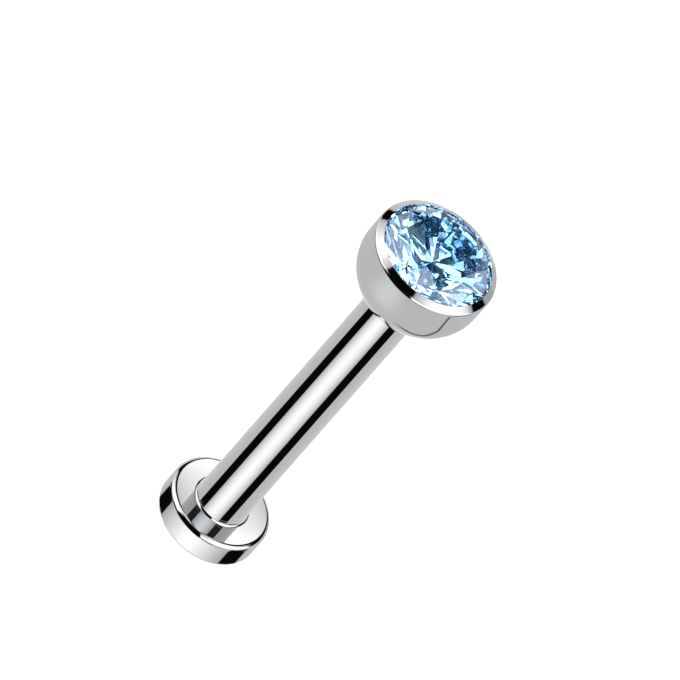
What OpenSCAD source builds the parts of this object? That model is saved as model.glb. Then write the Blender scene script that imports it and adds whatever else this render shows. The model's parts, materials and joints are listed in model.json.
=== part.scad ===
// Straight piercing stud with a flat back, a hollow post and a push-in top that holds a round stone.
// The stud stands on its flat back: the origin is the middle of the underside, and +Z runs along the post.

/* [Post] */
// Outside diameter of the post
post_d = 1.24; // [1.0:0.02:1.6]
// Length of the post, from the flat back to the top's seat
post_len = 8; // [6:0.5:12]
// Diameter of the blind bore that takes the pin
bore_d = 0.5; // [0.4:0.02:0.6]
// Depth of the bore, from the post's open end
bore_depth = 5.6; // [5.4:0.1:5.8]
// Chamfer round the post's open end
post_chamfer = 0.04; // [0.02:0.01:0.08]
// Width of the countersink round the bore's mouth
mouth_chamfer = 0.09; // [0.06:0.01:0.12]

/* [Flat back] */
// Diameter of the flat back
back_d = 2.46; // [2:0.02:4]
// Thickness of the flat back
back_t = 0.7; // [0.5:0.05:1]
// Radius round both edges of the flat back
back_round = 0.12; // [0.05:0.01:0.2]
// Radius of the fillet at the post's foot
foot_fillet = 0.06; // [0.03:0.01:0.1]

/* [Top] */
// Outside diameter of the cup
cup_d = 3.02; // [2.9:0.02:3.2]
// Depth of the domed part of the cup, as the dome's half axis
dome_h = 1.31; // [1.25:0.01:1.4]
// Diameter of the small flat that sits on the post
seat_d = 1.24; // [1.2:0.02:1.4]
// Height of the straight wall between the dome and the rim's bevel
wall_h = 0.574; // [0.5:0.002:0.65]
// Radius between the straight wall and the bevel
rim_round = 0.08; // [0.04:0.01:0.1]
// Diameter of the opening that the stone shows through
opening_d = 2.65; // [2.6:0.01:2.68]
// Rise of the bevel from the wall to the opening
bevel_rise = 0.105; // [0.08:0.005:0.14]
// Thickness of the lip at the opening
lip_t = 0.03; // [0.02:0.01:0.05]

/* [Pin] */
// Diameter of the push pin
pin_d = 0.42; // [0.34:0.02:0.44]
// Length of the pin below the top's seat
pin_len = 5; // [4.6:0.1:5.2]
// Radius of the weld where the pin meets the seat
weld_r = 0.05; // [0.03:0.01:0.06]

/* [Stone] */
// Diameter of the stone at its girdle
stone_d = 2.72; // [2.7:0.01:2.74]
// Width of the table, corner to corner, as a share of the diameter
table_share = 0.62; // [0.53:0.01:0.65]
// Slope of the crown's main facets, in degrees
crown_slope = 34.5; // [32:0.5:36]
// Slope of the pavilion's main facets, in degrees
pavilion_slope = 41.5; // [40:0.5:42]
// Height of the girdle
girdle_h = 0.08; // [0.05:0.01:0.1]
// Reach of the star facets, as a share of the way from the table to the girdle
star_share = 0.6; // [0.4:0.05:0.65]
// Reach of the lower half facets, as a share of the way from the girdle to the culet
lower_share = 0.76; // [0.7:0.02:0.85]
// Turn of the stone in its cup, in degrees
stone_turn = 5; // [0:1:45]

/* [Fit] */
// Gap between pieces that rest on each other
rest_gap = 0.02; // [0.01:0.01:0.03]
// Gap round the stone's girdle
stone_gap = 0.025; // [0.02:0.005:0.03]
// Gap between the stone's point and the bottom of its seat
culet_gap = 0.08; // [0.07:0.01:0.12]

/* [Hidden] */
// Sides of the exact round shapes, and points along a quarter turn of a profile
$fn = 96;
arc_steps = 16;
steel = [0.78, 0.79, 0.8];
sky_blue = [0.45, 0.75, 0.95];

// Heights above the surface that the stud stands on
post_top = back_t + post_len;
seat_z = post_top + rest_gap;

// The cup, upwards from its seat
cup_r = cup_d / 2;
opening_r = opening_d / 2;
equator_z = seat_z + dome_h * sqrt(1 - pow(seat_d / cup_d, 2));
rim_z = equator_z + wall_h;
lip_z = rim_z + bevel_rise;
bevel_slope = atan2(bevel_rise, cup_r - opening_r);

// The stone: heights are above the middle of its girdle, and main facets lie at 0, 45, 90 degrees and so on
stone_r = stone_d / 2;
table_r = stone_r * table_share;
half_step = 22.5;
quarter_step = 11.25;
crown_h = (stone_r - table_r) * tan(crown_slope);
pavilion_h = stone_r * tan(pavilion_slope);
table_edge = table_r * cos(half_step);
star_tip_r = table_edge + star_share * (stone_r - table_edge);
star_tip_h = (stone_r - star_tip_r * cos(half_step)) * tan(crown_slope);
star_slope = atan2(crown_h - star_tip_h, star_tip_r - table_edge);
upper_slope = atan2(star_tip_h, (stone_r - star_tip_r) * cos(quarter_step));
lower_tip_r = stone_r * (1 - lower_share);
lower_tip_h = pavilion_h - lower_tip_r * cos(half_step) * tan(pavilion_slope);
lower_slope = atan2(lower_tip_h, (stone_r - lower_tip_r) * cos(quarter_step));

// Where the stone sits: its steepest crown facets pass just under the lip
crown_under_lip = (stone_r - opening_r) * tan(upper_slope);
girdle_top_z = lip_z - lip_t - rest_gap - crown_under_lip;
girdle_z = girdle_top_z - girdle_h / 2;
culet_z = girdle_z - girdle_h / 2 - pavilion_h;
pocket_r = stone_r + stone_gap;
pocket_tip_z = culet_z - culet_gap;
pocket_cone_h = pocket_r * tan(pavilion_slope);

// Points of an arc round (x, z), from angle a0 to angle a1
function arc(x, z, r, a0, a1) = [for (i = [0 : arc_steps])
    let (a = a0 + (a1 - a0) * i / arc_steps) [x + r * cos(a), z + r * sin(a)]];

// Profile of the flat back with the post's foot: half a section, from the axis outwards and up
function back_profile() = concat(
    [[0, 0]],
    arc(back_d / 2 - back_round, back_round, back_round, -90, 0),
    arc(back_d / 2 - back_round, back_t - back_round, back_round, 0, 90),
    arc(post_d / 2 + foot_fillet, back_t + foot_fillet, foot_fillet, 270, 180),
    [[0, back_t + foot_fillet]]);

// Points down the dome, from the equator to the seat: x = cup_r cos(a), z = -dome_h sin(a)
function dome_profile() = let (end = acos(seat_d / cup_d)) [for (i = [1 : 2 * arc_steps])
    let (a = end * i / (2 * arc_steps)) [cup_r * cos(a), equator_z - dome_h * sin(a)]];

// Outside of the cup: bevel, rounded rim, straight wall, dome and seat
function cup_outside() = let (
    turn = 90 - bevel_slope,
    drop = rim_round * tan(turn / 2)) concat(
    [[0, lip_z], [opening_r, lip_z]],
    arc(cup_r - rim_round, rim_z - drop, rim_round, turn, 0),
    [[cup_r, equator_z]],
    dome_profile(),
    [[0, seat_z]]);

// Hollow that holds the stone: opening, undercut below the lip, girdle wall and a cone down to a point
function pocket_profile() = let (top = lip_z + rest_gap) [
    [0, top],
    [opening_r, top],
    [opening_r, lip_z - lip_t],
    [pocket_r, lip_z - lip_t - (pocket_r - opening_r) * tan(upper_slope)],
    [pocket_r, pocket_tip_z + pocket_cone_h],
    [0, pocket_tip_z]];

// Weld at the pin's root: a quarter-round collar under the seat
function weld_profile() = concat(
    [[0, seat_z]],
    arc(pin_d / 2 + weld_r, seat_z - weld_r, weld_r, 90, 180),
    [[0, seat_z - weld_r]]);

module turned(profile) {
    rotate_extrude() polygon(profile);
}

// Blind bore with a drilled cone at its end and a countersunk mouth
module bore() {
    bore_r = bore_d / 2;
    overrun = 0.1;
    translate([0, 0, post_top - bore_depth]) cylinder(r = bore_r, h = bore_depth + overrun);
    translate([0, 0, post_top - bore_depth - bore_r / 2]) cylinder(r1 = 0, r2 = bore_r, h = bore_r / 2);
    translate([0, 0, post_top - mouth_chamfer])
        cylinder(r1 = bore_r, r2 = bore_r + mouth_chamfer, h = mouth_chamfer);
}

module flat_back_post() color(steel) difference() {
    union() {
        turned(back_profile());
        cylinder(d = post_d, h = post_top - post_chamfer);
        translate([0, 0, post_top - post_chamfer])
            cylinder(r1 = post_d / 2, r2 = post_d / 2 - post_chamfer, h = post_chamfer);
    }
    bore();
}

// Push pin with a round tip, rooted inside the dome
module pin() {
    root = 0.1;
    tip_z = seat_z - pin_len + pin_d / 2;
    translate([0, 0, tip_z]) cylinder(d = pin_d, h = seat_z + root - tip_z);
    translate([0, 0, tip_z]) sphere(d = pin_d);
    turned(weld_profile());
}

module bezel_top() color(steel) union() {
    difference() {
        turned(cup_outside());
        turned(pocket_profile());
    }
    pin();
}

// Points of a ring round the axis at radius r and height z, from azimuth first
function ring(count, first, r, z) = [for (i = [0 : count - 1])
    let (a = first + i * 360 / count) [r * cos(a), r * sin(a), z]];

// Corners of a round brilliant, from the table down to the culet. Its flat facets lie between them:
// table, 8 stars, 8 kites, 16 upper halves, girdle, 16 lower halves and 8 pavilion mains
function brilliant_corners() = let (
    edge = girdle_h / 2,
    bulge = stone_r * (1 - cos(quarter_step))) concat(
    ring(8, 0, table_r, edge + crown_h),
    ring(8, half_step, star_tip_r, edge + star_tip_h),
    ring(16, 0, stone_r, edge),
    ring(16, quarter_step, stone_r, edge - bulge * tan(upper_slope)),
    ring(16, quarter_step, stone_r, bulge * tan(lower_slope) - edge),
    ring(16, 0, stone_r, -edge),
    ring(8, half_step, lower_tip_r, -edge - lower_tip_h),
    [[0, 0, -edge - pavilion_h]]);

module brilliant() {
    corners = brilliant_corners();
    hull() polyhedron(corners, [[for (i = [0 : len(corners) - 1]) i]]);
}

module stone() color(sky_blue) translate([0, 0, girdle_z]) rotate(stone_turn) brilliant();

flat_back_post();
bezel_top();
stone();
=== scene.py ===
"""Looks of a straight piercing stud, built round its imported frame.

A polished steel post stands on its round flat back. A push-in top closes it: a domed steel cup with a
bevelled rim, which holds a sky-blue round stone. The sizes are in millimetres and become metres where a mesh
is made. The origin is the middle of the flat back's underside, and +Z runs up the post.
"""

import json
import logging
import math
from dataclasses import dataclass
from enum import Enum

import bpy
import numpy as np
from mathutils import Matrix, Vector


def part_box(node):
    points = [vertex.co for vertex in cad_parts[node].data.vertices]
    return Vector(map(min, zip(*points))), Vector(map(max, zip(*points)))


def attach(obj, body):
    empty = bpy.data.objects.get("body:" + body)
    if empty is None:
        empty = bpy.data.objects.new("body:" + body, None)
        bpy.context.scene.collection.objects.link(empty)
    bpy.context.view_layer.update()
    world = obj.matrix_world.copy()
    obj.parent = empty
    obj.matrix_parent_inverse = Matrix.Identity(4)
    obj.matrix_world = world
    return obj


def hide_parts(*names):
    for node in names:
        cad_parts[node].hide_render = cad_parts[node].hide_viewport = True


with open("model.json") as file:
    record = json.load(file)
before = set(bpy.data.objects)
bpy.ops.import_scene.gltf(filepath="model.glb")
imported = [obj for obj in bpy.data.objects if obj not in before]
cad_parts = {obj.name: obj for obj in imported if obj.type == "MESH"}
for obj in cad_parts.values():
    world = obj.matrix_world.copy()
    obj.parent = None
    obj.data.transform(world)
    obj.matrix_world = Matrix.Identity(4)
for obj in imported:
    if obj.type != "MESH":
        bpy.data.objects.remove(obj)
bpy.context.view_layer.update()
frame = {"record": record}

log = logging.getLogger("stud")
MM = 0.001
FULL_TURN = 2 * math.pi
Socket = bpy.types.NodeSocket
Pair = tuple[float, float]
Triple = tuple[float, float, float]
Stops = tuple[Pair, ...]


class Sight(Enum):
    """What sees a piece of the studio."""

    EYE = "the camera and dull surfaces"
    MIRROR = "mirrors alone"


@dataclass(frozen=True)
class Panel:
    """A block of the sky that the metal mirrors.

    Azimuths are in degrees from the camera's side towards +X, and heights are in degrees over the level.
    """

    left: float
    right: float
    bottom: float
    top: float
    tone: float
    soft: float = 1.5


@dataclass(frozen=True)
class Lamp:
    """A small round soft light that one of the stone's facets mirrors, placed as a panel is."""

    azimuth: float
    height: float
    tone: float


BLACK = 0.003
# Flags and grey panels, each over the ones before it
FLAGS = (
    Panel(-50, 12, -25, 63, BLACK),
    Panel(-72, -48, -18, 12, BLACK, 3),
    Panel(10, 38, -14, 4, 0.1, 3),
    Panel(-108, -74, -37, -2, BLACK),
    Panel(74, 108, -37, -2, BLACK),
    Panel(136, 151, 2, 24, 0.47, 3),
    Panel(151, 166, -6, 14, 0.57, 3),
    Panel(112, 137, 17, 33, BLACK, 2),
    Panel(124, 168, 24, 44, BLACK, 1),
    Panel(140, 181, 28, 64, BLACK, 4),
    Panel(-181, -140, 28, 64, BLACK, 4),
)
# Tones of the soft light at the side, by the angle from the camera's side, left and right alike
STRIPES = ((0, 1.0), (13, 0.90), (22, 0.78), (31, 0.62), (38, 0.48), (90, 0.47), (130, 0.52), (180, 0.62))
# Tones of the soft boxes over it, by azimuth
BOXES = (
    (-134, 0.5), (-130, 0.75), (-125, 0.88), (-122, 0.97), (-119, 1.12), (-111, 1.4), (-102, 1.6), (-55, 1.6),
    (-50, 0.55), (10, 0.55), (16, 1.6), (111, 1.5), (115, 1.16), (119, 0.9), (123, 0.5),
)
# Tones of the canopy over the boxes, by azimuth
CANOPY = (
    (-134, 0.55), (-129, 1.5), (-106, 1.45), (-96, 1.2), (-89, 0.98), (-83, 0.8), (-76, 0.62), (-60, 0.5),
    (12, 0.5), (34, 0.58), (59, 0.91), (78, 1.4), (118, 1.5), (123, 0.55),
)
LAMPS = (
    Lamp(-86, 50, 2.6), Lamp(14, 67, 2.6), Lamp(99, 43, 2.6), Lamp(142, 11, 2.1), Lamp(-134, 18, 1.6),
    Lamp(-164, -11, 1.3), Lamp(-119, 13, 2.0), Lamp(-91, 29, 2.6), Lamp(73, 36, 1.9), Lamp(138, 41, 1.0),
    Lamp(-133, 47, 0.6), Lamp(33, 46, 0.6), Lamp(151, -10, 0.6), Lamp(159, 16, 0.4), Lamp(-172, 4, 0.4),
)


def unit(vectors: np.ndarray) -> np.ndarray:
    """Scales each vector of an array to a length of one."""
    return vectors / np.linalg.norm(vectors, axis=-1, keepdims=True)


def rounded(corners: list, radii: list, steps: int = 12, rail: float = 0.002) -> np.ndarray:
    """Rounds the corners of an open outline.

    At a corner where the way turns by t, the arc of radius r starts r tan(|t| / 2) before it. Along the arc
    the heading is h = h0 + t s, for s from 0 to 1, and the point is start + R (sin h - sin h0,
    cos h0 - cos h), where R is r with the sign of t. A rail point a little way out at each end keeps the flat
    stretches flat when shaded.

    Args:
        corners: (radius, height) of each corner, with the two ends.
        radii: radius at each inner corner.
        steps: pieces of each arc.
        rail: distance of the rail points from the arc.

    Returns:
        The outline's points as an (n, 2) array.
    """
    path = np.array(corners, float)
    before, at, after = path[:-2], path[1:-1], path[2:]
    way_in, way_out = unit(at - before), unit(after - at)
    cross = way_in[:, 0] * way_out[:, 1] - way_in[:, 1] * way_out[:, 0]
    turn = np.arctan2(cross, (way_in * way_out).sum(1))[:, None]
    radius = np.array(radii, float)[:, None]
    reach = radius * np.tan(np.abs(turn) / 2)
    heading = np.arctan2(way_in[:, 1], way_in[:, 0])[:, None]
    now = heading + turn * np.linspace(0, 1, steps + 1)
    signed = radius * np.sign(turn)
    start, end = at - way_in * reach, at + way_out * reach
    arc_r = start[:, :1] + signed * (np.sin(now) - np.sin(heading))
    arc_z = start[:, 1:] + signed * (np.cos(heading) - np.cos(now))
    arcs = np.stack([arc_r, arc_z], axis=2)
    rails = (start - way_in * rail)[:, None], (end + way_out * rail)[:, None]
    middle = np.concatenate([rails[0], arcs, rails[1]], axis=1).reshape(-1, 2)
    return np.vstack([path[:1], middle, path[-1:]])


def make_piece(name: str, points: np.ndarray, faces: list, smooth: bool) -> bpy.types.Object:
    """Makes a mesh object at the origin from points in millimetres.

    Args:
        name: the piece's name.
        points: (n, 3) array of places.
        faces: lists of corners, anticlockwise as seen from outside.
        smooth: whether light runs smoothly over the faces' edges.

    Returns:
        The linked object.
    """
    mesh = bpy.data.meshes.new(name)
    mesh.from_pydata((points * MM).tolist(), [], faces)
    mesh.polygons.foreach_set("use_smooth", [smooth] * len(mesh.polygons))
    mesh.validate()
    mesh.update()
    piece = bpy.data.objects.new(name, mesh)
    bpy.context.scene.collection.objects.link(piece)
    return piece


def turned(name: str, profile: np.ndarray, sides: int) -> bpy.types.Object:
    """Turns a closed outline about the Z axis.

    Each inner point (r, z) becomes the ring (r cos a, r sin a, z) for a round the full turn, and the two
    ends, which lie on the axis, become one point each. The UV map holds the distance round the widest ring
    and the distance along the outline, both in millimetres, so that a pattern keeps its size on it.

    Args:
        name: the piece's name.
        profile: (n, 2) array of radius and height between two ends on the axis, with the solid on its left.
        sides: points round each ring.

    Returns:
        The closed piece.
    """
    inner = profile[1:-1]
    rings = len(inner)
    turn = np.arange(sides) * FULL_TURN / sides
    ring = np.stack([np.cos(turn), np.sin(turn)], axis=1)
    flat = inner[:, None, :1] * ring[None]
    high = np.broadcast_to(inner[:, None, 1:], (rings, sides, 1))
    grid = np.concatenate([flat, high], axis=2).reshape(-1, 3)
    ends = np.array([[0, 0, profile[0, 1]], [0, 0, profile[-1, 1]]])

    row, column = np.meshgrid(np.arange(rings - 1), np.arange(sides), indexing="ij")
    below, above = row * sides, (row + 1) * sides
    beside = (column + 1) % sides
    quads = np.stack([below + column, below + beside, above + beside, above + column], axis=2).reshape(-1, 4)
    around, after = np.arange(sides), (np.arange(sides) + 1) % sides
    last = (rings - 1) * sides
    first_fan = np.stack([np.full(sides, rings * sides), after, around], axis=1)
    last_fan = np.stack([np.full(sides, rings * sides + 1), last + around, last + after], axis=1)
    faces = quads.tolist() + first_fan.tolist() + last_fan.tolist()
    piece = make_piece(name, np.vstack([grid, ends]), faces, smooth=True)

    steps = np.linalg.norm(np.diff(profile, axis=0), axis=1)
    along = np.concatenate([[0], np.cumsum(steps)])
    round_by = np.arange(sides + 1) / sides * FULL_TURN * inner[:, 0].max()
    near, far = round_by[column], round_by[column + 1]
    low, top = along[row + 1], along[row + 2]
    quad_uv = np.stack([near, low, far, low, far, top, near, top], axis=2)

    def level(places: np.ndarray, ring_number: int) -> np.ndarray:
        """Pairs places round a ring with that ring's distance along the outline."""
        return np.stack([places, np.full(sides, along[ring_number])], axis=1)

    near, far = round_by[:-1], round_by[1:]
    middle = (near + far) / 2
    first_uv = np.stack([level(middle, 0), level(far, 1), level(near, 1)], axis=1)
    last_uv = np.stack([level(middle, -1), level(near, -2), level(far, -2)], axis=1)
    layer = piece.data.uv_layers.new(name="surface_mm")
    flat_uv = np.concatenate([quad_uv.ravel(), first_uv.ravel(), last_uv.ravel()])
    layer.data.foreach_set("uv", flat_uv.astype(np.float32))
    return piece


class Wiring:
    """Adds nodes to a tree and links them, so that a formula reads as one."""

    def __init__(self, tree: bpy.types.NodeTree) -> None:
        """Takes the tree to add to."""
        self.tree = tree

    def add(self, kind: str, values: dict | None = None, **settings: object) -> bpy.types.Node:
        """Adds a node.

        Args:
            kind: the node's type.
            values: what goes to each input, by its name or number.
            settings: fields of the node itself.

        Returns:
            The new node.
        """
        node = self.tree.nodes.new(kind)
        for field, value in settings.items():
            setattr(node, field, value)
        for key, value in (values or {}).items():
            self.feed(node.inputs[key], value)
        return node

    def feed(self, socket: Socket, value: object) -> None:
        """Feeds an input.

        Args:
            socket: the input.
            value: a socket, which is linked to it, or anything else, which is set as its value.
        """
        if isinstance(value, Socket):
            self.tree.links.new(value, socket)
        else:
            socket.default_value = value

    def math(self, operation: str, *values: object, clamp: bool = False) -> Socket:
        """Works out a sum, product or other operation of one to three numbers."""
        node = self.add("ShaderNodeMath", dict(enumerate(values)), operation=operation, use_clamp=clamp)
        return node.outputs[0]

    def both(self, first: object, second: object) -> Socket:
        """Gives the share where two shares meet."""
        return self.math("MULTIPLY", first, second)

    def split(self, vector: Socket) -> bpy.types.bpy_prop_collection:
        """Gives the three parts of a vector."""
        return self.add("ShaderNodeSeparateXYZ", {0: vector}).outputs

    def ease(self, value: Socket, low: float, high: float) -> Socket:
        """Goes smoothly from 0 to 1.

        Args:
            value: the number that decides.
            low: where it starts to leave 0.
            high: where it reaches 1.

        Returns:
            The share.
        """
        limits = {"Value": value, "From Min": low, "From Max": high, "To Min": 0.0, "To Max": 1.0}
        return self.add("ShaderNodeMapRange", limits, interpolation_type="SMOOTHSTEP").outputs["Result"]

    def band(self, value: Socket, low: float, high: float, soft: float) -> Socket:
        """Gives 1 between two limits and 0 outside them.

        Args:
            value: the number that decides.
            low: lower limit.
            high: upper limit.
            soft: reach of the soft edge on either side of a limit.

        Returns:
            The share.
        """
        up = self.ease(value, low - soft, low + soft)
        down = self.ease(value, high - soft, high + soft)
        return self.math("SUBTRACT", up, down, clamp=True)

    def blend(self, share: object, first: object, second: object) -> Socket:
        """Mixes two numbers: the second where share is 1."""
        return self.add("ShaderNodeMix", {0: share, 2: first, 3: second}, data_type="FLOAT").outputs[0]

    def blend_colour(self, share: object, first: object, second: object) -> Socket:
        """Mixes two colours: the second where share is 1."""
        return self.add("ShaderNodeMix", {0: share, 6: first, 7: second}, data_type="RGBA").outputs[2]

    def blend_shader(self, share: object, first: Socket, second: Socket) -> Socket:
        """Mixes two shaders: the second where share is 1."""
        return self.add("ShaderNodeMixShader", {0: share, 1: first, 2: second}).outputs[0]

    def noise(self, place: Socket, scale: object, detail: float, roughness: float = 0.5) -> Socket:
        """Makes soft noise at a place."""
        values = {"Vector": place, "Scale": scale, "Detail": detail, "Roughness": roughness}
        return self.add("ShaderNodeTexNoise", values).outputs["Fac"]

    def tones(self, value: Socket, stops: Stops, low: float = 0.0, high: float = 1.0) -> Socket:
        """Looks a number up on a ramp of greys.

        Args:
            value: the number.
            stops: (place, grey) pairs in order.
            low: place of the ramp's start.
            high: place of the ramp's end.

        Returns:
            The grey.
        """
        share = self.math("DIVIDE", self.math("SUBTRACT", value, low), high - low)
        node = self.add("ShaderNodeValToRGB", {"Fac": share})
        elements = node.color_ramp.elements
        places = [(place - low) / (high - low) for place, _ in stops]
        elements[0].position, elements[-1].position = places[0], places[-1]
        for place in places[1:-1]:
            elements.new(place)
        for element, (_, grey) in zip(elements, stops):
            element.color = (grey, grey, grey, 1)
        return node.outputs["Color"]


def blank_material(name: str) -> tuple[bpy.types.Material, Wiring]:
    """Starts a material.

    Args:
        name: the material's name.

    Returns:
        The material with an empty tree, and the wiring that fills it.
    """
    made = bpy.data.materials.new(name)
    made.use_nodes = True
    made.node_tree.nodes.clear()
    return made, Wiring(made.node_tree)


def polish_group() -> bpy.types.NodeTree:
    """Builds the marks that polishing leaves on metal.

    Fine lines are noise that is stretched along X of the vector, and a coarse cloud says where they are
    strong. Roughness = Roughness + Spread * (lines * cloud), and Height is the lines alone.

    Returns:
        The group, with the outputs Roughness, Height and Cloud.
    """
    strong_lines, strong_cloud = (0.45, 0.75), (0.35, 0.7)
    group = bpy.data.node_groups.new("polish_marks", "ShaderNodeTree")
    face = group.interface
    face.new_socket("Vector", in_out="INPUT", socket_type="NodeSocketVector")
    for name, value in (("Fineness", 20.0), ("Cloud Size", 1.0), ("Roughness", 0.03), ("Spread", 0.04)):
        face.new_socket(name, in_out="INPUT", socket_type="NodeSocketFloat").default_value = value
    for name in ("Roughness", "Height", "Cloud"):
        face.new_socket(name, in_out="OUTPUT", socket_type="NodeSocketFloat")
    wires = Wiring(group)
    given = wires.add("NodeGroupInput").outputs
    lines = wires.noise(given["Vector"], given["Fineness"], 3.0, 0.6)
    cloud = wires.noise(given["Vector"], given["Cloud Size"], 2.0)
    marked = wires.both(wires.ease(lines, *strong_lines), wires.ease(cloud, *strong_cloud))
    rough = wires.math("MULTIPLY_ADD", marked, given["Spread"], given["Roughness"])
    wires.add("NodeGroupOutput", {"Roughness": rough, "Height": lines, "Cloud": cloud})
    return group


@dataclass(frozen=True)
class PolishedSteel:
    """Mirror-polished steel, with the faint lines of its last polish, which run round the axis."""

    name: str
    colour: Triple = (0.78, 0.79, 0.80)
    cloud_colour: Triple = (0.74, 0.752, 0.765)
    roughness: float = 0.02
    spread: float = 0.05
    stretch: float = 0.04
    fineness: float = 26.0
    depth_mm: float = 0.00001

    def material(self, marks: bpy.types.NodeTree) -> bpy.types.Material:
        """Makes the steel's material.

        Args:
            marks: the group of polishing marks.

        Returns:
            The material, which reads the piece's UV map in millimetres.
        """
        made, wires = blank_material(self.name)
        place = wires.add("ShaderNodeTexCoord").outputs["UV"]
        stretched = wires.add("ShaderNodeMapping", {"Vector": place, "Scale": (self.stretch, 1, 1)})
        mark = wires.add(
            "ShaderNodeGroup",
            {
                "Vector": stretched.outputs["Vector"],
                "Fineness": self.fineness,
                "Roughness": self.roughness,
                "Spread": self.spread,
            },
            node_tree=marks,
        ).outputs
        colour = wires.blend_colour(mark["Cloud"], (*self.colour, 1), (*self.cloud_colour, 1))
        lines = {"Strength": 1.0, "Distance": self.depth_mm * MM, "Height": mark["Height"]}
        steel = wires.add(
            "ShaderNodeBsdfPrincipled",
            {
                "Base Color": colour,
                "Metallic": 1.0,
                "Roughness": mark["Roughness"],
                "Normal": wires.add("ShaderNodeBump", lines).outputs["Normal"],
            },
        )
        wires.add("ShaderNodeOutputMaterial", {"Surface": steel.outputs["BSDF"]})
        return made


@dataclass(frozen=True)
class CutStone:
    """Clear sky-blue stone of high refraction, with a bright foil behind it."""

    name: str
    tint: Triple = (0.58, 0.79, 0.98)
    zone_tint: Triple = (0.54, 0.76, 0.96)
    refraction: float = 2.16
    depth_colour: Triple = (0.35, 0.56, 0.68)
    depth_per_mm: float = 0.2
    zone_size_mm: float = 1.2
    foil_colour: Triple = (0.90, 0.94, 0.97)
    foil_cloud: Triple = (0.84, 0.90, 0.95)
    foil_roughness: float = 0.03

    def clouded(self, wires: Wiring, first: Triple, second: Triple, detail: float) -> Socket:
        """Mixes two colours by a soft cloud.

        Args:
            wires: the material's wiring.
            first: colour where there is no cloud.
            second: colour where the cloud is full.
            detail: fineness of the cloud's edges.

        Returns:
            The colour.
        """
        place = wires.add("ShaderNodeTexCoord").outputs["Object"]
        cloud = wires.noise(place, 1 / (self.zone_size_mm * MM), detail)
        return wires.blend_colour(cloud, (*first, 1), (*second, 1))

    def finish(self, wires: Wiring, surface: Socket) -> None:
        """Ends a material: its surface, over a tint that deepens along the light's way through the stone.

        Args:
            wires: the material's wiring.
            surface: the shader of its surface.
        """
        body = {"Color": (*self.depth_colour, 1), "Density": self.depth_per_mm / MM}
        depth = wires.add("ShaderNodeVolumeAbsorption", body).outputs["Volume"]
        wires.add("ShaderNodeOutputMaterial", {"Surface": surface, "Volume": depth})

    def material(self) -> bpy.types.Material:
        """Makes the stone's own material, clear glass.

        Returns:
            The material.
        """
        made, wires = blank_material(self.name)
        glass = wires.add(
            "ShaderNodeBsdfPrincipled",
            {
                "Base Color": self.clouded(wires, self.tint, self.zone_tint, 1.0),
                "Metallic": 0.0,
                "Roughness": 0.0,
                "IOR": self.refraction,
                "Transmission Weight": 1.0,
            },
        )
        self.finish(wires, glass.outputs["BSDF"])
        return made

    def foil(self) -> bpy.types.Material:
        """Makes the foil behind the stone's pavilion, slightly cloudy, which sends all light back up.

        Returns:
            The material.
        """
        made, wires = blank_material(self.name + "_foil")
        mirror = wires.add(
            "ShaderNodeBsdfPrincipled",
            {
                "Base Color": self.clouded(wires, self.foil_colour, self.foil_cloud, 2.0),
                "Metallic": 1.0,
                "Roughness": self.foil_roughness,
            },
        )
        self.finish(wires, mirror.outputs["BSDF"])
        return made


@dataclass
class FlatBackPost:
    """The post and its flat back, turned from one bar."""

    height: float
    post_radius: float
    back_radius: float
    back_height: float = 0.7
    back_round: float = 0.12
    foot_fillet: float = 0.06
    bore_radius: float = 0.25
    bore_depth: float = 5.6
    end_chamfer: float = 0.04
    mouth_chamfer: float = 0.09
    edge_break: float = 0.006
    root_step: float = 0.004
    back_arc_steps: int = 20
    edge_arc_steps: int = 8
    sides: int = 256

    @classmethod
    def from_frame(cls) -> "FlatBackPost":
        """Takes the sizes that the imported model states.

        Returns:
            The post and flat back.
        """
        low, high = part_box("flat_back_post")
        mount = next(m for m in frame["record"]["mounts"] if m["name"] == "post")
        across = (high.x - low.x) / MM
        return cls(height=high.z / MM, post_radius=mount["dims"]["r_mm"], back_radius=across / 2)

    def back_profile(self) -> np.ndarray:
        """Draws the flat back, from its underside's middle round to the fillet at the post's foot.

        Returns:
            The outline, which ends inside the post.
        """
        back = self.back_height
        foot = back + 2 * self.foot_fillet
        corners = [
            (0, 0),
            (self.back_radius, 0),
            (self.back_radius, back),
            (self.post_radius, back),
            (self.post_radius, foot),
            (0, foot),
        ]
        radii = [self.back_round, self.back_round, self.foot_fillet, 0.0]
        return rounded(corners, radii, steps=self.back_arc_steps)

    def post_profile(self) -> np.ndarray:
        """Draws the post, from inside the flat back up to its end and down into the bore.

        Returns:
            The outline.
        """
        top, bore = self.height, self.bore_radius
        root, foot = self.back_height / 2, self.back_height + 2 * self.foot_fillet
        floor_of_bore = top - self.bore_depth
        inside = self.post_radius - self.root_step
        corners = [
            (0, root),
            (inside, root),
            (inside, foot),
            (self.post_radius, foot),
            (self.post_radius, top - self.end_chamfer),
            (self.post_radius - self.end_chamfer, top),
            (bore + self.mouth_chamfer, top),
            (bore, top - self.mouth_chamfer),
            (bore, floor_of_bore),
            (0, floor_of_bore - bore / 2),
        ]
        tiny = self.edge_break
        return rounded(corners, [0.0, 0.0, 0.0, tiny, tiny, tiny, tiny, tiny], steps=self.edge_arc_steps)

    def build(self, steel: bpy.types.Material) -> list[bpy.types.Object]:
        """Makes the dressed post and flat back, which ride on the post's body.

        The flat back shows the post's mirror image, and the post shows the studio alone.

        Args:
            steel: the finish of both.

        Returns:
            The two pieces.
        """
        back = turned("flat_back", self.back_profile(), self.sides)
        post = turned("post", self.post_profile(), self.sides)
        back.visible_glossy = False
        for piece in (back, post):
            piece.data.materials.append(steel)
            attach(piece, "post_body")
            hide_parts("flat_back_post")
        return [back, post]


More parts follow.
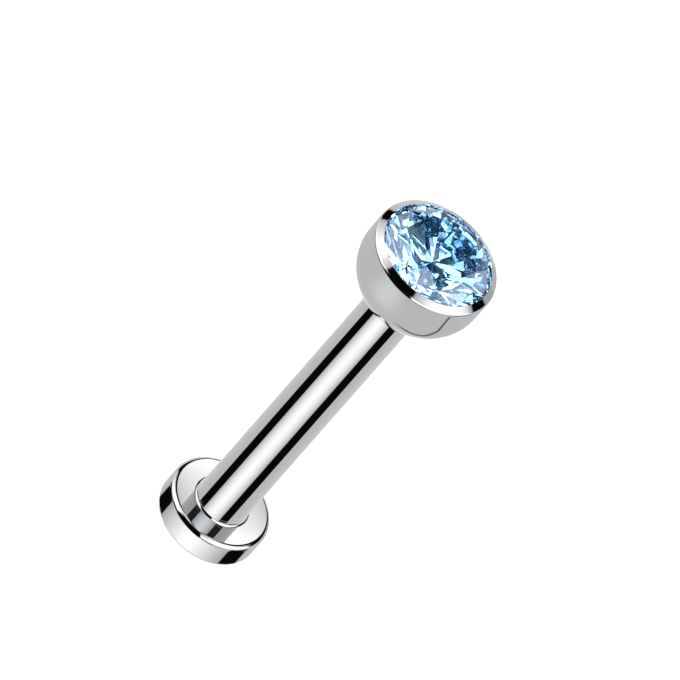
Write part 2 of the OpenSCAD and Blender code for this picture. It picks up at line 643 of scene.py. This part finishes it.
@dataclass
class BezelTop:
    """The domed cup with its bevelled rim, and the push pin under it.

    The lip is a little thicker than the CAD's, so that it closes on the stone as a burnished lip does. The
    lead is the short straight way into a rounded stretch, and the last share of the dome is left to the seat.
    """

    seat_height: float
    lip_height: float
    cup_radius: float
    pin_tip: float
    pocket_tip: float
    undercut_slope: float
    dome_height: float = 1.31
    seat_radius: float = 0.62
    rim_round: float = 0.08
    opening_radius: float = 1.325
    bevel_rise: float = 0.105
    lip_thickness: float = 0.046
    pin_radius: float = 0.21
    weld_radius: float = 0.05
    pocket_radius: float = 1.385
    pocket_slope: float = 41.5
    edge_break: float = 0.006
    lead: float = 0.01
    dome_share: float = 0.97
    dome_steps: int = 64
    tip_points: int = 12
    sides: int = 256

    @classmethod
    def from_frame(
        cls, held: "BrilliantStone", rest_gap: float = 0.02, culet_gap: float = 0.08
    ) -> "BezelTop":
        """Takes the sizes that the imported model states.

        Args:
            held: the stone that the pocket follows.
            rest_gap: gap between the top and the post.
            culet_gap: gap between the stone's point and the pocket's.

        Returns:
            The top.
        """
        low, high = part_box("bezel_top")
        post_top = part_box("flat_back_post")[1].z
        return cls(
            seat_height=post_top / MM + rest_gap,
            lip_height=high.z / MM,
            cup_radius=(high.x - low.x) / 2 / MM,
            pin_tip=low.z / MM,
            pocket_tip=held.culet_height - culet_gap,
            undercut_slope=held.upper_slope(),
        )

    def outside(self, equator: float) -> np.ndarray:
        """Draws the round tip of the pin, the pin, its weld, the seat and the dome.

        The tip is (p sin a, tip + p (1 - cos a)), for a quarter turn. The dome is (R cos a,
        equator - H sin a), where a runs down from the seat to 0.

        Args:
            equator: height at which the dome meets the straight wall.

        Returns:
            The outline, from the pin's tip up to the equator.
        """
        pin_turn = np.linspace(0, math.pi / 2, self.tip_points)
        tip_r = self.pin_radius * np.sin(pin_turn)
        tip_z = self.pin_tip + self.pin_radius * (1 - np.cos(pin_turn))
        end = math.acos(self.seat_radius / self.cup_radius) * self.dome_share
        angle = np.linspace(end, 0, self.dome_steps)
        dome_r = self.cup_radius * np.cos(angle)
        dome_z = equator - self.dome_height * np.sin(angle)
        corners = [
            (self.pin_radius, tip_z[-1] + self.lead),
            (self.pin_radius, self.seat_height),
            (self.seat_radius, self.seat_height),
            (dome_r[0], dome_z[0]),
        ]
        root = rounded(corners, [self.weld_radius, self.edge_break])
        return np.vstack([np.stack([tip_r, tip_z], 1), root, np.stack([dome_r, dome_z], 1)[1:]])

    def profile(self) -> np.ndarray:
        """Draws the whole top: outside, straight wall, rounded rim, bevel, lip and the stone's pocket.

        Returns:
            The outline, from the pin's tip up over the rim and down into the pocket.
        """
        share = self.seat_radius / self.cup_radius
        equator = self.seat_height + self.dome_height * math.sqrt(1 - share**2)
        cone_rise = self.pocket_radius * math.tan(math.radians(self.pocket_slope))
        under = (self.pocket_radius - self.opening_radius) * self.undercut_slope
        lip_floor = self.lip_height - self.lip_thickness
        corners = [
            (self.cup_radius, equator + self.lead),
            (self.cup_radius, self.lip_height - self.bevel_rise),
            (self.opening_radius, self.lip_height),
            (self.opening_radius, lip_floor),
            (self.pocket_radius, lip_floor - under),
            (self.pocket_radius, self.pocket_tip + cone_rise),
            (0, self.pocket_tip),
        ]
        tiny = self.edge_break
        return np.vstack([self.outside(equator), rounded(corners, [self.rim_round, tiny, tiny, tiny, tiny])])

    def build(self, steel: bpy.types.Material) -> bpy.types.Object:
        """Makes the dressed piece, which rides on the top's body.

        Args:
            steel: its finish.

        Returns:
            The piece.
        """
        piece = turned("bezel_and_pin", self.profile(), self.sides)
        piece.data.materials.append(steel)
        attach(piece, "top_body")
        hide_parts("bezel_top")
        return piece


@dataclass
class BrilliantStone:
    """A round brilliant: table, 8 stars, 8 kites, 16 upper halves, girdle, 16 lower halves and 8 mains."""

    radius: float
    table_height: float
    culet_height: float
    turn: float = 5.0
    table_share: float = 0.62
    crown_slope: float = 34.5
    pavilion_slope: float = 41.5
    girdle_height: float = 0.08
    star_share: float = 0.6
    lower_share: float = 0.76
    folds: int = 8
    half_step: float = 22.5
    quarter_step: float = 11.25

    @classmethod
    def from_frame(cls) -> "BrilliantStone":
        """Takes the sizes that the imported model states: a girdle corner lies one turn off the X axis.

        Returns:
            The stone.
        """
        low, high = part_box("stone")
        across = (high.x - low.x) / 2 / math.cos(math.radians(cls.turn))
        return cls(radius=across / MM, table_height=high.z / MM, culet_height=low.z / MM)

    def ring(self, count: int, first: float, radius: float, height: float) -> np.ndarray:
        """Places (r cos a, r sin a, h), evenly round the axis from the azimuth first, in degrees."""
        turn = math.radians(first + self.turn) + np.arange(count) * FULL_TURN / count
        return np.stack([radius * np.cos(turn), radius * np.sin(turn), np.full(count, height)], axis=1)

    def star_tip(self) -> Pair:
        """Works out where the star facets end.

        Returns:
            Radius of their tips, and height of the tips over the girdle's edge.
        """
        half = math.cos(math.radians(self.half_step))
        edge = self.radius * self.table_share * half
        tip = edge + self.star_share * (self.radius - edge)
        return tip, (self.radius - tip * half) * math.tan(math.radians(self.crown_slope))

    def upper_slope(self) -> float:
        """Gives the rise of the upper half facets for each unit outwards."""
        tip, high = self.star_tip()
        return high / ((self.radius - tip) * math.cos(math.radians(self.quarter_step)))

    def rings(self) -> dict[str, np.ndarray]:
        """Works out the corners.

        A main facet of slope m through the girdle's edge has the height (R - r cos t) tan m over it, at a
        radius r and an angle t from the facet's middle. Star tips and lower tips lie on two mains, half a
        step from each. The girdle's points between the steps dip by the sagitta of the arc times the slope
        of the half facets.

        Returns:
            The rings of corners by name, from the table down to the culet.
        """
        slope, deep = math.tan(math.radians(self.crown_slope)), math.tan(math.radians(self.pavilion_slope))
        half, quarter = math.radians(self.half_step), math.radians(self.quarter_step)
        table = self.radius * self.table_share
        star, star_h = self.star_tip()
        crown_h, pavilion_h = (self.radius - table) * slope, self.radius * deep
        lower = self.radius * (1 - self.lower_share)
        lower_h = pavilion_h - lower * math.cos(half) * deep
        lower_slope = lower_h / ((self.radius - lower) * math.cos(quarter))
        dip = self.radius * (1 - math.cos(quarter))
        rim = self.girdle_height / 2
        middle = self.table_height - crown_h - rim
        n, at_half, at_quarter = self.folds, self.half_step, self.quarter_step
        return {
            "table": self.ring(n, 0, table, middle + rim + crown_h),
            "star": self.ring(n, at_half, star, middle + rim + star_h),
            "rim": self.ring(2 * n, 0, self.radius, middle + rim),
            "rim_dip": self.ring(2 * n, at_quarter, self.radius, middle + rim - dip * self.upper_slope()),
            "low_dip": self.ring(2 * n, at_quarter, self.radius, middle - rim + dip * lower_slope),
            "low": self.ring(2 * n, 0, self.radius, middle - rim),
            "lower": self.ring(n, at_half, lower, middle - rim - lower_h),
            "culet": np.array([[0.0, 0.0, middle - rim - pavilion_h]]),
        }

    def build(self, glass: bpy.types.Material, foil: bpy.types.Material) -> bpy.types.Object:
        """Makes the dressed stone.

        Args:
            glass: the stone's material.
            foil: what covers the facets below the crown.

        Returns:
            The piece, which rides on the top's body.
        """
        rings = self.rings()
        starts = dict(zip(rings, np.cumsum([0] + [len(r) for r in rings.values()])))
        k, j = np.arange(self.folds), np.arange(2 * self.folds)

        def at(name: str, number: np.ndarray) -> np.ndarray:
            """Numbers of a ring's points, counted round and round."""
            return starts[name] + number % len(rings[name])

        def facets(*columns: np.ndarray) -> list:
            """Facets from columns of point numbers."""
            return np.stack(np.broadcast_arrays(*columns), axis=1).tolist()

        tip, low_tip = at("star", j // 2), at("lower", j // 2)
        crown = [at("table", k).tolist()]
        crown += facets(at("table", k), at("star", k), at("table", k + 1))
        crown += facets(at("table", k), at("star", k - 1), at("rim", 2 * k), at("star", k))
        crown += facets(tip, at("rim", j), at("rim_dip", j), at("rim", j + 1))
        backed = facets(at("rim", j), at("low", j), at("low_dip", j), at("rim_dip", j))
        backed += facets(at("rim_dip", j), at("low_dip", j), at("low", j + 1), at("rim", j + 1))
        backed += facets(low_tip, at("low", j + 1), at("low_dip", j), at("low", j))
        backed += facets(at("culet", k * 0), at("lower", k), at("low", 2 * k), at("lower", k - 1))
        piece = make_piece("cut_stone", np.vstack(list(rings.values())), crown + backed, smooth=False)
        piece.data.materials.append(glass)
        piece.data.materials.append(foil)
        covers = np.repeat([0, 1], [len(crown), len(backed)])
        piece.data.polygons.foreach_set("material_index", covers.astype(np.int32))
        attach(piece, "top_body")
        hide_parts("stone")
        return piece


def put_in_studio(thing: bpy.types.Object, sight: Sight) -> None:
    """Makes a mesh a part of the studio.

    Args:
        thing: the mesh object.
        sight: which rays meet it.
    """
    thing.visible_camera = thing.visible_diffuse = sight is Sight.EYE
    thing.visible_glossy = sight is Sight.MIRROR
    thing.visible_transmission = thing.visible_shadow = thing.visible_volume_scatter = False


@dataclass(frozen=True)
class Heading:
    """A direction of the sky: its vector and parts, and its azimuth, that angle's size and its height."""

    way: Socket
    x: Socket
    y: Socket
    z: Socket
    azimuth: Socket
    aside: Socket
    height: Socket

    @classmethod
    def of_sky(cls, wires: Wiring) -> "Heading":
        """Works out the direction: azimuth = atan2(x, -y) and height = asin z, in degrees.

        Args:
            wires: the world's wiring.

        Returns:
            The direction as sockets.
        """
        degrees = 180 / math.pi
        way = wires.add("ShaderNodeTexCoord").outputs["Generated"]
        x, y, z = wires.split(way)
        turn = wires.math("ARCTAN2", x, wires.math("MULTIPLY", y, -1.0))
        azimuth = wires.math("MULTIPLY", turn, degrees)
        height = wires.math("MULTIPLY", wires.math("ARCSINE", z), degrees)
        return cls(way, x, y, z, azimuth, wires.math("ABSOLUTE", azimuth), height)


@dataclass(frozen=True)
class LeaningFlag:
    """A flag whose middle line leans: height = middle + slope (angle from the camera's side - start)."""

    left: float = -168.0
    right: float = -132.0
    side_soft: float = 2.0
    middle: float = 22.0
    start: float = 139.0
    slope: float = 0.75
    reach: float = 9.2
    soft: float = 1.5

    def share(self, wires: Wiring, to: Heading) -> Socket:
        """Gives the share that the flag covers.

        Args:
            wires: the world's wiring.
            to: the direction.

        Returns:
            1 on the flag and 0 beside it.
        """
        line = wires.math("MULTIPLY_ADD", to.aside, self.slope, self.middle - self.slope * self.start)
        over = wires.math("SUBTRACT", to.height, line)
        near = wires.band(over, -self.reach, self.reach, self.soft)
        return wires.both(wires.band(to.azimuth, self.left, self.right, self.side_soft), near)


@dataclass(frozen=True)
class OverheadFlag:
    """A flag nearly overhead: limits of the direction's parts."""

    x: Pair = (-0.397, 0.12)
    y: Pair = (-0.45, -0.07)
    z: Pair = (0.80, 0.84)
    soft: float = 0.02

    def share(self, wires: Wiring, to: Heading) -> Socket:
        """Gives the share that the flag covers.

        Args:
            wires: the world's wiring.
            to: the direction.

        Returns:
            1 on the flag and 0 beside it.
        """
        flat = wires.both(wires.band(to.x, *self.x, self.soft), wires.band(to.y, *self.y, self.soft))
        return wires.both(flat, wires.ease(to.z, *self.z))


@dataclass(frozen=True)
class Sky:
    """What the metal mirrors, what the stone's facets mirror and what shines through the stone.

    Angles are in degrees. A pair holds two limits, or where a soft edge starts and ends. The ring below the
    level is what the post mirrors, and the sky again is what it mirrors on the light's second bounce, on its
    way from the flat back. The stone sees a sky of cells: a place in four dimensions says how bright each is.
    """

    boxes_start: Pair = (8.0, 22.0)
    canopy_start: Pair = (54.0, 60.0)
    side_gain: float = 1.3
    ring: Pair = (-90.0, -40.0)
    ring_soft: float = 2.0
    gap: Pair = (41.4, 76.4)
    gap_soft: float = 1.0
    again_start: Pair = (30.0, 34.0)
    again_depth: float = 2.5
    again_gain: float = 1.06
    again_gap_tone: float = 0.02
    lamp_edge: Pair = (7.5, 5.5)
    lamp_colour: Triple = (0.73, 0.82, 0.95)
    dim_colour: Triple = (0.04, 0.13, 0.26)
    cell_place: Triple = (0.0095, -0.0122, 0.0007)
    cell_turn: Triple = (0.0164, -0.0282, -0.0449)
    cell_depth: float = 211.0096
    cell_count: float = 3.3262
    cell_tones: Stops = ((0.0, 0.0), (0.25, 0.0), (0.38, 0.01), (0.52, 0.045), (0.62, 0.32), (1.0, 1.0))
    cell_strength: float = 9.6
    plain_strength: float = 2.3

    def metal_tone(self, wires: Wiring, to: Heading, depth: Socket) -> Socket:
        """Gives what the metal mirrors: side, boxes, canopy, the flags over them, the ring and the sky again.

        Args:
            wires: the world's wiring.
            to: the direction.
            depth: number of the ray's bounces.

        Returns:
            The tone.
        """
        stripes = wires.tones(to.aside, STRIPES, 0, 180)
        side = wires.math("MULTIPLY", stripes, self.side_gain)
        boxes = wires.tones(to.azimuth, BOXES, -180, 180)
        canopy = wires.tones(to.azimuth, CANOPY, -180, 180)
        upper = wires.blend(wires.ease(to.height, *self.canopy_start), boxes, canopy)
        tone = wires.blend(wires.ease(to.height, *self.boxes_start), side, upper)
        for flag in FLAGS:
            across = wires.band(to.azimuth, flag.left, flag.right, flag.soft)
            upright = wires.band(to.height, flag.bottom, flag.top, flag.soft)
            tone = wires.blend(wires.both(across, upright), tone, flag.tone)
        for flag in (OverheadFlag(), LeaningFlag()):
            tone = wires.blend(flag.share(wires, to), tone, BLACK)
        gap = wires.band(to.aside, *self.gap, self.gap_soft)
        ring = wires.band(to.height, *self.ring, self.ring_soft)
        tone = wires.blend(ring, tone, wires.blend(gap, side, BLACK))
        again = wires.blend(gap, wires.math("MULTIPLY", stripes, self.again_gain), self.again_gap_tone)
        late = wires.math("GREATER_THAN", depth, self.again_depth)
        return wires.blend(wires.both(late, wires.ease(to.height, *self.again_start)), tone, again)

    def lamplight(self, wires: Wiring, to: Heading) -> Socket:
        """Gives what the stone's perfectly smooth facets mirror: dim light with a pale lamp here and there.

        Args:
            wires: the world's wiring.
            to: the direction.

        Returns:
            The colour.
        """
        tone = 0.0
        edge = [math.cos(math.radians(angle)) for angle in self.lamp_edge]
        for lamp in LAMPS:
            turn, high = math.radians(lamp.azimuth), math.radians(lamp.height)
            at = (math.sin(turn) * math.cos(high), -math.cos(turn) * math.cos(high), math.sin(high))
            near = wires.add("ShaderNodeVectorMath", {0: to.way, 1: at}, operation="DOT_PRODUCT")
            tone = wires.blend(wires.ease(near.outputs["Value"], *edge), tone, lamp.tone)
        pale = wires.add("ShaderNodeVectorMath", {0: self.lamp_colour, 3: tone}, operation="SCALE")
        sum_up = wires.add("ShaderNodeVectorMath", {0: pale.outputs["Vector"], 1: self.dim_colour})
        return sum_up.outputs["Vector"]

    def cells(self, wires: Wiring, to: Heading) -> Socket:
        """Gives what shines through the stone.

        Args:
            wires: the world's wiring.
            to: the direction.

        Returns:
            The tone.
        """
        move = {"Vector": to.way, "Location": self.cell_place, "Rotation": self.cell_turn}
        place = wires.add("ShaderNodeMapping", move).outputs["Vector"]
        where = {"Vector": place, "W": self.cell_depth, "Scale": self.cell_count}
        cell = wires.add("ShaderNodeTexVoronoi", where, voronoi_dimensions="4D").outputs["Color"]
        return wires.tones(wires.add("ShaderNodeSeparateColor", {0: cell}).outputs[0], self.cell_tones)

    def build(self) -> None:
        """Makes the world: a plain light for dull surfaces, and the sky for mirrors and for the stone."""
        world = bpy.data.worlds.new("studio")
        bpy.context.scene.world = world
        world.use_nodes = True
        world.node_tree.nodes.clear()
        world.cycles.sampling_method = "NONE"
        wires = Wiring(world.node_tree)
        to = Heading.of_sky(wires)
        path = wires.add("ShaderNodeLightPath").outputs
        metal = self.metal_tone(wires, to, path["Ray Depth"])
        shown = wires.blend_colour(path["Is Singular Ray"], metal, self.lamplight(wires, to))

        def light(colour: object, strength: float) -> Socket:
            """Makes one of the sky's lights."""
            return wires.add("ShaderNodeBackground", {"Color": colour, "Strength": strength}).outputs[0]

        plain = light((1, 1, 1, 1), self.plain_strength)
        seen = wires.blend_shader(path["Is Glossy Ray"], plain, light(shown, 1.0))
        through = light(self.cells(wires, to), self.cell_strength)
        seen = wires.blend_shader(path["Is Transmission Ray"], seen, through)
        wires.add("ShaderNodeOutputWorld", {"Surface": seen})


@dataclass
class Card:
    """A card of the studio that lights what mirrors its front. Rays pass it from its back."""

    name: str

    def points(self) -> np.ndarray:
        """Gives an (m, n, 3) grid whose first side runs anticlockwise as seen from the card's front."""
        raise NotImplementedError

    def tone(self, wires: Wiring) -> Socket:
        """Gives how bright the card is."""
        raise NotImplementedError

    def clear(self, wires: Wiring) -> Socket | float:
        """Gives the share that lets rays pass the front too."""
        return 0.0

    def place(self, wires: Wiring) -> list[Socket]:
        """Gives the place on the card in millimetres, as its three parts."""
        parts = wires.split(wires.add("ShaderNodeTexCoord").outputs["Object"])
        return [wires.math("DIVIDE", part, MM) for part in parts]

    def paint(self) -> bpy.types.Material:
        """Makes the card's material.

        Returns:
            The material, which gives light to the front alone.
        """
        made, wires = blank_material(self.name)
        made.cycles.emission_sampling = "NONE"
        light = wires.add("ShaderNodeEmission", {"Color": self.tone(wires), "Strength": 1.0}).outputs[0]
        back = wires.add("ShaderNodeNewGeometry").outputs["Backfacing"]
        gone = wires.math("MAXIMUM", back, self.clear(wires))
        none = wires.add("ShaderNodeBsdfTransparent").outputs[0]
        wires.add("ShaderNodeOutputMaterial", {"Surface": wires.blend_shader(gone, light, none)})
        return made

    def build(self) -> bpy.types.Object:
        """Makes the card from its grid of points, with a UV map that runs from 0 to 1 along each side.

        Returns:
            The card.
        """
        points = self.points()
        rows, columns = points.shape[:2]
        row, column = np.meshgrid(np.arange(rows - 1), np.arange(columns - 1), indexing="ij")
        corner = row * columns + column
        faces = np.stack([corner, corner + columns, corner + columns + 1, corner + 1], axis=2)
        card = make_piece(self.name, points.reshape(-1, 3), faces.reshape(-1, 4).tolist(), smooth=False)
        layer = card.data.uv_layers.new(name="card")
        first = np.stack([row, row + 1, row + 1, row], axis=2) / (rows - 1)
        second = np.stack([column, column, column + 1, column + 1], axis=2) / (columns - 1)
        layer.data.foreach_set("uv", np.stack([first, second], axis=3).astype(np.float32).ravel())
        card.data.materials.append(self.paint())
        put_in_studio(card, Sight.MIRROR)
        return card


@dataclass
class CupCard(Card):
    """The round grey card below the cup, which the cup's wall and dome mirror.

    A thin dark thread crosses it along y = thread + rise * ease(x) + fall * ease(x), and a round spot of it
    is paler.
    """

    name: str = "cup_card"
    height: float = 8.9
    inner: float = 1.32
    outer: float = 8.0
    points_round: int = 97
    grey: float = 0.61
    spot: Pair = (-0.8, -2.7)
    spot_edge: Pair = (0.1, 1.5)
    spot_gain: float = 0.18
    thread: float = -1.55
    rise: float = 0.6
    rise_edge: Pair = (0.3, 1.3)
    fall: float = -0.12
    fall_edge: Pair = (1.2, 2.6)
    thread_start: Pair = (0.2, 0.8)
    thread_edge: Pair = (0.03, 0.12)
    thread_tone: float = 0.14

    def points(self) -> np.ndarray:
        """Gives the flat ring (r cos a, r sin a, height), with a running clockwise from above.

        Returns:
            Its points, one row to each angle.
        """
        turn = np.linspace(0, FULL_TURN, self.points_round)[::-1, None]
        reach = np.array([[self.inner, self.outer]])
        flat = [reach * np.cos(turn), reach * np.sin(turn), np.full((self.points_round, 2), self.height)]
        return np.stack(flat, axis=2)

    def tone(self, wires: Wiring) -> Socket:
        """Gives the grey with its paler spot and its thread.

        Args:
            wires: the card's wiring.

        Returns:
            The tone.
        """
        x, y, _ = self.place(wires)
        line = wires.math("MULTIPLY_ADD", wires.ease(x, *self.rise_edge), self.rise, self.thread)
        line = wires.math("MULTIPLY_ADD", wires.ease(x, *self.fall_edge), self.fall, line)
        off = wires.math("ABSOLUTE", wires.math("SUBTRACT", y, line))
        thread = wires.math("SUBTRACT", 1.0, wires.ease(off, *self.thread_edge))
        thread = wires.both(thread, wires.ease(x, *self.thread_start))
        squares = [
            wires.math("POWER", wires.math("SUBTRACT", part, middle), 2.0)
            for part, middle in zip((x, y), self.spot)
        ]
        wide = wires.math("SQRT", wires.math("ADD", *squares))
        lit = wires.math("SUBTRACT", 1.0, wires.ease(wide, *self.spot_edge))
        tone = wires.math("ADD", self.grey, wires.math("MULTIPLY", lit, self.spot_gain))
        return wires.blend(thread, tone, self.thread_tone)


@dataclass
class WallCard(Card):
    """The card that the flat back's wall mirrors, just below the stud.

    A ray that meets the wall at the angle p from the front leaves along 2 p and lands at (R sin p + h sin 2p,
    -(R cos p + h cos 2p)), h further out, so the card is ruled by those lines. Longer rays, from the post,
    pass.
    """

    name: str = "wall_card"
    wall_radius: float = 1.23
    reach: float = 0.9
    spread: float = 92.0
    points_round: int = 185
    height: float = -0.01
    greys: Stops = ((0, 1.0), (5, 1.0), (13, 0.84), (22, 0.70), (31, 0.54), (39, 0.40), (63, 0.44), (81, 0.5))
    gain: float = 1.32
    gap: Pair = (41.4, 63.2)
    gap_soft: float = 1.0
    longest: float = 1.04

    def points(self) -> np.ndarray:
        """Gives the ruled grid.

        Returns:
            Its points, one row to each angle.
        """
        turn = np.radians(np.linspace(-self.spread, self.spread, self.points_round))[:, None]
        out = np.array([[0.0, self.reach]])
        x = self.wall_radius * np.sin(turn) + out * np.sin(2 * turn)
        y = -self.wall_radius * np.cos(turn) - out * np.cos(2 * turn)
        return np.stack([x, y, np.full(x.shape, self.height)], axis=2)[::-1]

    def tone(self, wires: Wiring) -> Socket:
        """Gives the greys by the angle from the front, with a black gap to the left and right.

        Args:
            wires: the card's wiring.

        Returns:
            The tone.
        """
        u = wires.split(wires.add("ShaderNodeUVMap", uv_map="card").outputs[0])[0]
        angle = wires.math("ABSOLUTE", wires.math("MULTIPLY_ADD", u, 2 * self.spread, -self.spread))
        tone = wires.math("MULTIPLY", wires.tones(angle, self.greys, 0, 90), self.gain)
        return wires.blend(wires.band(angle, *self.gap, self.gap_soft), tone, BLACK)

    def clear(self, wires: Wiring) -> Socket:
        """Lets the longer rays pass."""
        length = wires.add("ShaderNodeLightPath").outputs["Ray Length"]
        return wires.math("GREATER_THAN", length, self.longest * MM)


@dataclass
class BackCard(Card):
    """The upright card behind the stud that the flat back's face mirrors, brighter on two corners."""

    name: str = "back_card"
    half_width: float = 1.4
    behind: float = 12.0
    bottom: float = 10.6
    top: float = 13.8
    middle: float = 12.19
    middle_tone: float = 1.08
    corner_gain: float = 0.55
    side_gain: float = -0.073

    def points(self) -> np.ndarray:
        """Gives the card's four corners."""
        side, high = np.array([[-self.half_width], [self.half_width]]), np.array([[self.bottom, self.top]])
        return np.stack(np.broadcast_arrays(side, self.behind, high), axis=2)

    def tone(self, wires: Wiring) -> Socket:
        """Gives middle tone + corner gain * x * z + side gain * x, with z counted from the middle.

        Args:
            wires: the card's wiring.

        Returns:
            The tone.
        """
        x, _, z = self.place(wires)
        cross = wires.math("MULTIPLY", x, wires.math("SUBTRACT", z, self.middle))
        tone = wires.math("MULTIPLY_ADD", cross, self.corner_gain, self.middle_tone)
        return wires.math("MULTIPLY_ADD", x, self.side_gain, tone)


@dataclass
class Studio:
    """Camera, floor, sky and cards."""

    elevation: float = 43.76
    lean: float = 41.24
    aim: Triple = (-0.393, 0.0, 6.734)
    view_width: float = 14.76
    lens: float = 1640.0
    sensor: float = 36.0
    floor_side: float = 3000.0
    floor_grey: float = 0.97
    bounces: int = 24
    mirror_bounces: int = 16

    def camera(self) -> None:
        """Makes the camera.

        Its way to the stud is (0, -cos e, sin e). It is rolled so that the post leans clockwise in the
        picture: right = cos l X + sin l U and up = cos l U - sin l X, where U is the level camera's up.
        """
        e, lean = math.radians(self.elevation), math.radians(self.lean)
        back = Vector((0, -math.cos(e), math.sin(e)))
        across, level_up = Vector((1, 0, 0)), Vector((0, math.sin(e), math.cos(e)))
        right = across * math.cos(lean) + level_up * math.sin(lean)
        up = level_up * math.cos(lean) - across * math.sin(lean)
        data = bpy.data.cameras.new("camera")
        data.lens, data.sensor_width = self.lens, self.sensor
        distance = self.view_width * self.lens / self.sensor * MM
        data.clip_start, data.clip_end = distance / 10, distance * 10
        made = bpy.data.objects.new("camera", data)
        turn = Matrix((right, up, back)).transposed().to_4x4()
        made.matrix_world = Matrix.Translation(Vector(self.aim) * MM + back * distance) @ turn
        bpy.context.scene.collection.objects.link(made)
        bpy.context.scene.camera = made

    def floor(self) -> None:
        """Makes the plain pale floor."""
        half = self.floor_side / 2
        points = np.array([[-half, -half, 0], [half, -half, 0], [half, half, 0], [-half, half, 0]])
        made = make_piece("floor", points, [[0, 1, 2, 3]], smooth=False)
        paint, wires = blank_material("pale_floor")
        grey = (self.floor_grey, self.floor_grey, self.floor_grey, 1)
        dull = {"Base Color": grey, "Roughness": 1.0, "Specular IOR Level": 0.0}
        surface = wires.add("ShaderNodeBsdfPrincipled", dull).outputs["BSDF"]
        wires.add("ShaderNodeOutputMaterial", {"Surface": surface})
        made.data.materials.append(paint)
        put_in_studio(made, Sight.EYE)

    def build(self) -> None:
        """Makes the whole studio and says how far light is followed in it."""
        self.camera()
        self.floor()
        Sky().build()
        low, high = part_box("flat_back_post")
        for card in (CupCard(), WallCard(wall_radius=(high.x - low.x) / 2 / MM), BackCard()):
            card.build()
        cycles = bpy.context.scene.cycles
        cycles.max_bounces = self.bounces
        cycles.glossy_bounces = self.mirror_bounces
        cycles.transmission_bounces = self.mirror_bounces
        bpy.context.scene.view_settings.view_transform = "Standard"


def report(piece: bpy.types.Object) -> None:
    """Logs a piece's name, faces and height."""
    high = max(corner[2] for corner in piece.bound_box) / MM
    log.info("%s: %d faces, up to %.2f mm", piece.name, len(piece.data.polygons), high)


def main() -> None:
    """Builds the pieces in order."""
    logging.basicConfig(level=logging.INFO, format="%(name)s: %(message)s")
    Studio().build()
    marks = polish_group()
    for piece in FlatBackPost.from_frame().build(PolishedSteel("post_steel").material(marks)):
        report(piece)
    stone = BrilliantStone.from_frame()
    report(BezelTop.from_frame(stone).build(PolishedSteel("bezel_steel").material(marks)))
    sky_stone = CutStone("sky_stone")
    report(stone.build(sky_stone.material(), sky_stone.foil()))


if __name__ == "__main__":
    main()
